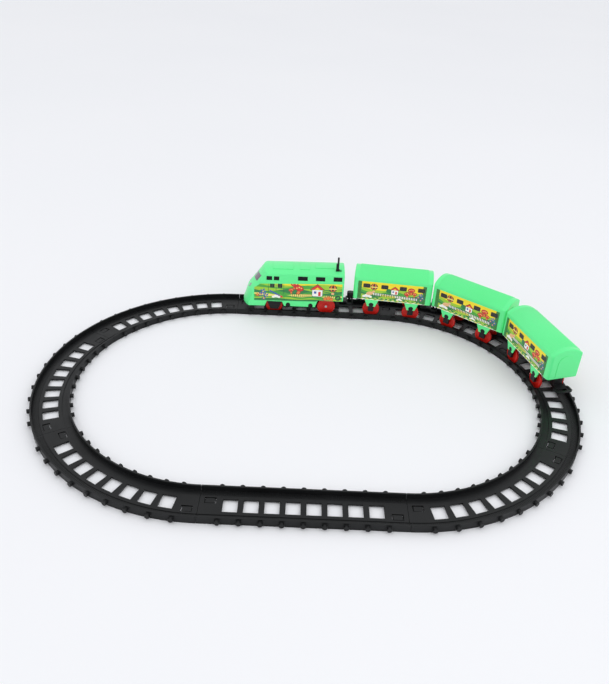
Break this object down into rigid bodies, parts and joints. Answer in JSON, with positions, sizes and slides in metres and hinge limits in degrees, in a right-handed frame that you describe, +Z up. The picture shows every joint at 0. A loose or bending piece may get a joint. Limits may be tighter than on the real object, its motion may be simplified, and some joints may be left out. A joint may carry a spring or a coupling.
{
  "type": "electric train set",
  "caption": "Battery toy train set: a locomotive with geared motor drive pulls coupled wagons round a snap-together oval track with side walls.",
  "frame": {"origin": "centre of the track oval on the floor it lies on", "axes": "+X along the oval's long direction, from the locomotive's nose towards the wagons; +Y from the front straight to the rear straight, where the train stands; +Z up"},
  "size_m": [0.5728, 0.3926, 0.079],
  "materials": {
    "track_black": "satin moulded",
    "shell_green": "glossy moulded",
    "chassis_black": "satin moulded",
    "wheel_red": "glossy moulded",
    "window_black": "glossy moulded",
    "windscreen_grey": "glossy moulded",
    "lamp_lens": "clear lens",
    "sticker_print": "printed paper with a gloss film",
    "axle_steel": "drawn wire",
    "gear_white": "natural nylon",
    "motor_can": "plated",
    "battery_wrap": "printed sleeve",
    "contact_nickel": "nickel plated strip",
    "screw_steel": "zinc plated"
  },
  "bodies": {
    "track": {"track_straight_rear": "track_black", "track_straight_front": "track_black", "track_curve_right_rear": "track_black", "track_curve_right_middle": "track_black", "track_curve_right_front": "track_black", "track_curve_left_rear": "track_black", "track_curve_left_middle": "track_black", "track_curve_left_front": "track_black"},
    "locomotive": {"loco_body": "shell_green", "loco_side_windows": "window_black", "loco_windscreen": "windscreen_grey", "loco_headlamps": "lamp_lens", "loco_sticker_left": "sticker_print", "loco_sticker_right": "sticker_print", "loco_chassis": "chassis_black", "loco_battery_door": "chassis_black", "loco_battery_cell": "battery_wrap", "loco_battery_contact_front": "contact_nickel", "loco_battery_contact_rear": "contact_nickel", "loco_drive_motor": "motor_can", "loco_idler_pin": "axle_steel", "loco_bearing_cover_left": "chassis_black", "loco_bearing_cover_right": "chassis_black", "loco_front_stub_axles": "axle_steel", "loco_switch_contact": "contact_nickel", "loco_screws": "screw_steel"},
    "loco_rear_wheelset": {"loco_rear_axle": "axle_steel", "loco_rear_wheel_left": "wheel_red", "loco_rear_wheel_right": "wheel_red", "loco_axle_gear": "gear_white"},
    "loco_front_wheel_left": {"loco_front_wheel_left": "wheel_red"},
    "loco_front_wheel_right": {"loco_front_wheel_right": "wheel_red"},
    "idler_gear": {"loco_idler_gear": "gear_white"},
    "motor_rotor": {"loco_motor_shaft": "axle_steel", "loco_motor_pinion": "gear_white"},
    "power_lever": {"loco_power_lever": "chassis_black"},
    "wagon_1": {"wagon_1_body": "shell_green", "wagon_1_chassis": "chassis_black", "wagon_1_sticker_left": "sticker_print", "wagon_1_sticker_right": "sticker_print"},
    "wagon_1_front_wheelset": {"wagon_1_front_axle": "axle_steel", "wagon_1_front_wheels": "wheel_red"},
    "wagon_1_rear_wheelset": {"wagon_1_rear_axle": "axle_steel", "wagon_1_rear_wheels": "wheel_red"},
    "wagon_2": {"wagon_2_body": "shell_green", "wagon_2_chassis": "chassis_black", "wagon_2_sticker_left": "sticker_print", "wagon_2_sticker_right": "sticker_print"},
    "wagon_2_front_wheelset": {"wagon_2_front_axle": "axle_steel", "wagon_2_front_wheels": "wheel_red"},
    "wagon_2_rear_wheelset": {"wagon_2_rear_axle": "axle_steel", "wagon_2_rear_wheels": "wheel_red"},
    "wagon_3": {"wagon_3_body": "shell_green", "wagon_3_chassis": "chassis_black", "wagon_3_sticker_left": "sticker_print", "wagon_3_sticker_right": "sticker_print"},
    "wagon_3_front_wheelset": {"wagon_3_front_axle": "axle_steel", "wagon_3_front_wheels": "wheel_red"},
    "wagon_3_rear_wheelset": {"wagon_3_rear_axle": "axle_steel", "wagon_3_rear_wheels": "wheel_red"}
  },
  "joints": [
    {"name": "train_travel", "type": "slide", "parent": "track", "child": "locomotive", "axis": [-1, 0, 0], "range_m": [-0.01, 0.03]},
    {"name": "loco_rear_axle_spin", "type": "hinge", "parent": "locomotive", "child": "loco_rear_wheelset", "pos_m": [0.0214, 0.1742, 0.01375], "axis": [0, -1, 0], "continuous": true},
    {"name": "loco_front_wheel_left_spin", "type": "hinge", "parent": "locomotive", "child": "loco_front_wheel_left", "pos_m": [-0.0434, 0.1613, 0.01295], "axis": [0, -1, 0], "continuous": true},
    {"name": "loco_front_wheel_right_spin", "type": "hinge", "parent": "locomotive", "child": "loco_front_wheel_right", "pos_m": [-0.0434, 0.1871, 0.01295], "axis": [0, -1, 0], "continuous": true},
    {"name": "idler_gear_spin", "type": "hinge", "parent": "locomotive", "child": "idler_gear", "pos_m": [0.0126, 0.1816, 0.02115], "axis": [0, -1, 0], "continuous": true},
    {"name": "motor_spin", "type": "hinge", "parent": "locomotive", "child": "motor_rotor", "pos_m": [0.0216, 0.1825, 0.02745], "axis": [0, -1, 0], "continuous": true},
    {"name": "power_lever_tilt", "type": "hinge", "parent": "locomotive", "child": "power_lever", "pos_m": [0.033, 0.1647, 0.054], "axis": [0, 1, 0], "range_deg": [0, 12]},
    {"name": "wagon_1_travel", "type": "hinge", "parent": "track", "child": "wagon_1", "pos_m": [0.07547, -0.04806, 0.02], "axis": [0, 0, 1], "range_deg": [-2.6, 7.72]},
    {"name": "wagon_1_front_axle_spin", "type": "hinge", "parent": "wagon_1", "child": "wagon_1_front_wheelset", "pos_m": [0.07938, 0.175, 0.01295], "axis": [-0.1188, -0.9929, 0], "continuous": true},
    {"name": "wagon_1_rear_axle_spin", "type": "hinge", "parent": "wagon_1", "child": "wagon_1_rear_wheelset", "pos_m": [0.12803, 0.16918, 0.01295], "axis": [-0.1188, -0.9929, 0], "continuous": true},
    {"name": "wagon_2_travel", "type": "hinge", "parent": "track", "child": "wagon_2", "pos_m": [0.09, 0, 0.02], "axis": [0, 0, 1], "range_deg": [-3.32, 9.9]},
    {"name": "wagon_2_front_axle_spin", "type": "hinge", "parent": "wagon_2", "child": "wagon_2_front_wheelset", "pos_m": [0.17924, 0.1496, 0.01295], "axis": [-0.628, -0.7782, 0], "continuous": true},
    {"name": "wagon_2_rear_axle_spin", "type": "hinge", "parent": "wagon_2", "child": "wagon_2_rear_wheelset", "pos_m": [0.21738, 0.11883, 0.01295], "axis": [-0.628, -0.7782, 0], "continuous": true},
    {"name": "wagon_3_travel", "type": "hinge", "parent": "track", "child": "wagon_3", "pos_m": [0.09, 0, 0.02], "axis": [0, 0, 1], "range_deg": [-3.32, 9.9]},
    {"name": "wagon_3_front_axle_spin", "type": "hinge", "parent": "wagon_3", "child": "wagon_3_front_wheelset", "pos_m": [0.24811, 0.07313, 0.01295], "axis": [-0.9576, -0.288, 0], "continuous": true},
    {"name": "wagon_3_rear_axle_spin", "type": "hinge", "parent": "wagon_3", "child": "wagon_3_rear_wheelset", "pos_m": [0.26222, 0.0262, 0.01295], "axis": [-0.9576, -0.288, 0], "continuous": true}
  ],
  "couplings": [
    {"joint": "loco_rear_axle_spin", "follows": "train_travel", "rad_per_m": 89.286},
    {"joint": "loco_front_wheel_left_spin", "follows": "train_travel", "rad_per_m": 96.154},
    {"joint": "loco_front_wheel_right_spin", "follows": "train_travel", "rad_per_m": 96.154},
    {"joint": "idler_gear_spin", "follows": "train_travel", "rad_per_m": -321.43},
    {"joint": "motor_spin", "follows": "train_travel", "rad_per_m": 1446.4},
    {"joint": "wagon_1_travel", "follows": "train_travel", "rad_per_m": 4.4753},
    {"joint": "wagon_1_front_axle_spin", "follows": "train_travel", "rad_per_m": 96.154},
    {"joint": "wagon_1_rear_axle_spin", "follows": "train_travel", "rad_per_m": 96.154},
    {"joint": "wagon_2_travel", "follows": "train_travel", "rad_per_m": 5.7405},
    {"joint": "wagon_2_front_axle_spin", "follows": "train_travel", "rad_per_m": 96.154},
    {"joint": "wagon_2_rear_axle_spin", "follows": "train_travel", "rad_per_m": 96.154},
    {"joint": "wagon_3_travel", "follows": "train_travel", "rad_per_m": 5.7405},
    {"joint": "wagon_3_front_axle_spin", "follows": "train_travel", "rad_per_m": 96.154},
    {"joint": "wagon_3_rear_axle_spin", "follows": "train_travel", "rad_per_m": 96.154}
  ]
}
